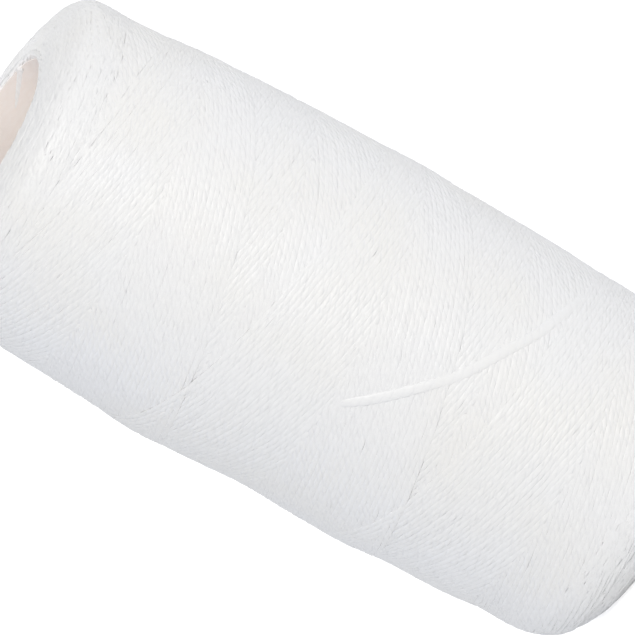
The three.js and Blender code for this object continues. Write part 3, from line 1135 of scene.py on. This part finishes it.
@dataclass
class PaperPly:
    """One ply of the tube: a paper strip wound in a spiral, cut off at both ends.

    Its upper end stands proud of the tube and is cut askew. One turn takes up the length lead, with
    a seam between two turns, and edges under the angle crisp are smooth.
    """

    node: str
    name: str
    thickness: float
    start: float
    proud: float = 0.0
    skew: float = 0.0
    lead: float = 46.0
    seam: float = 0.25
    spare_turns: int = 2
    segments: int = 128
    crisp: float = 35.0

    def build(self, material: bpy.types.Material) -> None:
        """Winds the strip, cuts the tube's ends and gives the paper its thickness."""
        low, high = box_mm(self.node)
        inner = float(high[0]) - self.thickness
        bottom, top = float(low[2]), float(high[2])
        strip = self.wound(inner, bottom, top)
        self.cut(bottom, 0.0, below=True)
        self.cut(top + self.proud - self.skew / 2.0, self.skew / (2.0 * inner), below=False)
        bpy.ops.mesh.select_all(action="SELECT")
        bpy.ops.mesh.normals_make_consistent(inside=False)
        bpy.ops.object.mode_set(mode="OBJECT")
        self.face_out(strip)
        self.apply(strip, "SOLIDIFY", thickness=self.thickness * MM, offset=1.0)
        bpy.ops.object.shade_smooth_by_angle(angle=math.radians(self.crisp))
        dress(strip, material, self.node, self.node)

    def wound(self, inner: float, bottom: float, top: float) -> bpy.types.Object:
        """Winds the strip past both ends of the tube, and leaves it in edit mode.

        Args:
            inner: Radius of its inner side.
            bottom: Height of the tube's lower end.
            top: Height of its upper end.

        Returns:
            The strip, without thickness.
        """
        turns = math.ceil((top - bottom) / self.lead) + self.spare_turns
        bpy.ops.object.select_all(action="DESELECT")
        bpy.ops.mesh.primitive_plane_add(size=1.0)
        strip = bpy.context.object
        strip.name = strip.data.name = self.name
        bpy.ops.object.mode_set(mode="EDIT")
        bpy.ops.mesh.select_mode(type="VERT")
        bpy.ops.mesh.select_all(action="SELECT")
        bpy.ops.mesh.merge(type="CENTER")
        bpy.ops.transform.translate(value=(inner * MM, 0.0, (bottom - self.lead) * MM))
        bpy.ops.transform.rotate(
            value=math.radians(self.start), orient_axis="Z", center_override=(0.0, 0.0, 0.0)
        )
        bpy.ops.mesh.extrude_region_move(
            TRANSFORM_OT_translate={"value": (0.0, 0.0, (self.lead - self.seam) * MM)}
        )
        bpy.ops.object.mode_set(mode="OBJECT")
        self.apply(strip, "SCREW", axis="Z", angle=math.tau, screw_offset=self.lead * MM, iterations=turns,
                   steps=self.segments, render_steps=self.segments, use_normal_calculate=True)
        bpy.ops.object.mode_set(mode="EDIT")
        return strip

    def cut(self, height: float, slope: float, below: bool) -> None:
        """Cuts the strip off across the axis.

        Args:
            height: Where the cut meets the axis.
            slope: How steeply the cut falls towards the camera.
            below: Whether what lies below it goes, and not what lies above.
        """
        across = Vector((0.0, -slope, 1.0)).normalized()
        bpy.ops.mesh.select_all(action="SELECT")
        bpy.ops.mesh.bisect(
            plane_co=(0.0, 0.0, height * MM), plane_no=across, clear_inner=below, clear_outer=not below
        )

    def apply(self, piece: bpy.types.Object, kind: str, **values: object) -> None:
        """Adds one modifier with its values, and applies it."""
        modifier = piece.modifiers.new(kind.lower(), kind)
        for key, value in values.items():
            setattr(modifier, key, value)
        bpy.ops.object.modifier_apply(modifier=modifier.name)

    def face_out(self, piece: bpy.types.Object) -> None:
        """Turns the strip's faces away from the axis, before it gets its thickness."""
        first = piece.data.polygons[0]
        away = Vector((first.center.x, first.center.y, 0.0))
        if first.normal.dot(away) < 0.0:
            bpy.ops.object.mode_set(mode="EDIT")
            bpy.ops.mesh.select_all(action="SELECT")
            bpy.ops.mesh.flip_normals()
            bpy.ops.object.mode_set(mode="OBJECT")


# --- Studio -----------------------------------------------------------------------------------


def hang(lamp: bpy.types.Object, place: Vector, aim: Vector) -> None:
    """Hangs a lamp at a place and turns it to another, both in metres."""
    lamp.location = place
    lamp.rotation_euler = (aim - place).to_track_quat("-Z", "Y").to_euler()


@dataclass(frozen=True)
class Lamp:
    """One soft square lamp."""

    name: str
    place: Triple
    size: float
    power: float
    color: Triple

    def build(self, aim: Vector) -> None:
        """Hangs the lamp and turns it to a point, in metres."""
        data = bpy.data.lights.new(self.name, "AREA")
        data.size = self.size * MM
        data.energy = self.power
        data.color = self.color
        hang(placed(self.name, data), Vector(self.place) * MM, aim)


@dataclass(frozen=True)
class Snoot:
    """A narrow lamp that looks past the rim at the bore's wall.

    Wall and far are the spot that it lights and its own place: an angle and a radius, and the depth
    below or the height above the upper end face.
    """

    name: str = "bore_snoot"
    power: float = 3.0
    cone: float = 2.2
    blend: float = 1.0
    size: float = 3.0
    color: Triple = (1.0, 0.95, 0.89)
    wall: Triple = (-128.0, 10.2, 2.5)
    far: Triple = (52.0, 560.0, 240.0)

    def build(self, shape: PackageShape) -> None:
        """Hangs the lamp on the far side of the spool's upper end."""
        data = bpy.data.lights.new(self.name, "SPOT")
        data.energy = self.power
        data.spot_size = math.radians(self.cone)
        data.spot_blend = self.blend
        data.shadow_soft_size = self.size * MM
        data.color = self.color
        angle, radius, depth = self.wall
        wall = Vector(around(angle, radius, shape.length - depth).tolist()) * MM
        angle, radius, height = self.far
        far = Vector(around(angle, radius, shape.length + height).tolist()) * MM
        hang(placed(self.name, data), far, wall)


@dataclass
class Studio:
    """Camera, lights and floor.

    The picture takes in view_width at the camera's distance, around a point that lies aim_offset
    off the package's middle. The floor's glow is a white that only the camera sees.
    """

    shape: PackageShape
    elevation: float = 12.5
    roll: float = 61.11
    distance: float = 1331.0
    view_width: float = 72.07
    aim_offset: Triple = (0.16, 0.14, 0.64)
    sensor: float = 36.0
    sight: float = 10000.0
    world_strength: float = 0.645
    floor_size: float = 8000.0
    floor_color: Triple = (0.95, 0.95, 0.95)
    floor_roughness: float = 0.9
    floor_glow: float = 0.7
    lamps: tuple[Lamp, ...] = (
        Lamp("front_softbox", (260.0, -850.0, 520.0), 500.0, 2.75, (1.0, 0.985, 0.955)),
        Lamp("right_side_fill", (770.0, 207.0, 300.0), 500.0, 0.24, (0.35, 0.55, 1.0)),
        Lamp("left_side_fill", (-770.0, 207.0, 300.0), 500.0, 0.5, (0.35, 0.55, 1.0)),
    )
    snoot: Snoot = Snoot()

    def camera(self) -> None:
        """The photograph's view: at the package's middle, from a little above, turned on its side."""
        data = bpy.data.cameras.new("photo_view")
        data.sensor_width = self.sensor
        data.lens = self.sensor * self.distance / self.view_width
        data.clip_end = self.sight * MM
        made = placed("photo_view", data)
        target = (Vector((0.0, 0.0, self.shape.length / 2.0)) + Vector(self.aim_offset)) * MM
        lift = math.radians(self.elevation)
        back = Vector((0.0, -math.cos(lift), math.sin(lift)))
        made.location = target + back * self.distance * MM
        facing = back.to_track_quat("Z", "Y").to_matrix()
        turn = Euler((0.0, 0.0, -math.radians(self.roll))).to_matrix()
        made.rotation_euler = (facing @ turn).to_euler()
        bpy.context.scene.camera = made

    def world(self) -> None:
        """Even white light, and white where the camera or a mirror looks past the floor."""
        world = bpy.data.worlds.new("white_tent")
        bpy.context.scene.world = world
        world.use_nodes = True
        make = NodeMaker(world.node_tree)
        background = world.node_tree.nodes["Background"]
        path = make.put("ShaderNodeLightPath")
        seen = make.math("MAXIMUM", path.outputs["Is Camera Ray"], path.outputs["Is Glossy Ray"])
        level = make.put("ShaderNodeMix")
        make.feed_all(level, {"Factor": seen, "A": self.world_strength, "B": 1.0})
        make.feed_all(background, {"Color": WHITE, "Strength": level.outputs["Result"]})

    def floor(self) -> None:
        """A white floor that keeps the contact shadow."""
        bpy.ops.object.select_all(action="DESELECT")
        bpy.ops.mesh.primitive_plane_add(size=self.floor_size * MM)
        floor = bpy.context.object
        floor.name = "floor"
        material, make, shader = new_material("white_floor")
        path = make.put("ShaderNodeLightPath")
        make.feed_all(shader, {
            "Base Color": (*self.floor_color, 1.0),
            "Roughness": self.floor_roughness,
            "Emission Color": WHITE,
            "Emission Strength": make.math("MULTIPLY", path.outputs["Is Camera Ray"], self.floor_glow),
        })
        floor.data.materials.append(material)

    def build(self) -> None:
        """Sets up the whole studio."""
        bpy.context.scene.view_settings.view_transform = "Standard"
        self.camera()
        self.world()
        self.floor()
        aim = Vector((0.0, 0.0, self.shape.length / 2.0 * MM))
        for lamp in self.lamps:
            lamp.build(aim)
        self.snoot.build(self.shape)


def main() -> None:
    """Builds the spool in order, and reports each piece."""
    logging.basicConfig(level=logging.INFO, format="%(name)s: %(message)s")
    shape = PackageShape.from_frame()
    Studio(shape).build()
    finishes = Finishes.build()
    law = WindingLaw(shape, np.random.default_rng(SEED))
    winding = OuterWinding(shape, law)
    winding.build(finishes)
    PackedBulk(shape, law, winding.section).build(finishes)
    EndFace(shape, law, upper=True).build(finishes)
    broad = Section(width=1.1, thickness=0.24, sides=6)
    EndFace(shape, law, upper=False, section=broad, early=1.5).build(finishes)
    LooseEnds(shape, law).build(finishes)
    liner = PaperPly("tube_liner_ply", "liner_strip", thickness=0.3, start=20.0, proud=0.7, skew=0.6)
    liner.build(finishes.liner)
    PaperPly("tube_board_ply", "board_strip", thickness=0.55, start=140.0).build(finishes.board)
    PaperPly("tube_wrap_ply", "wrap_strip", thickness=0.3, start=260.0).build(finishes.wrap)


if __name__ == "__main__":
    main()
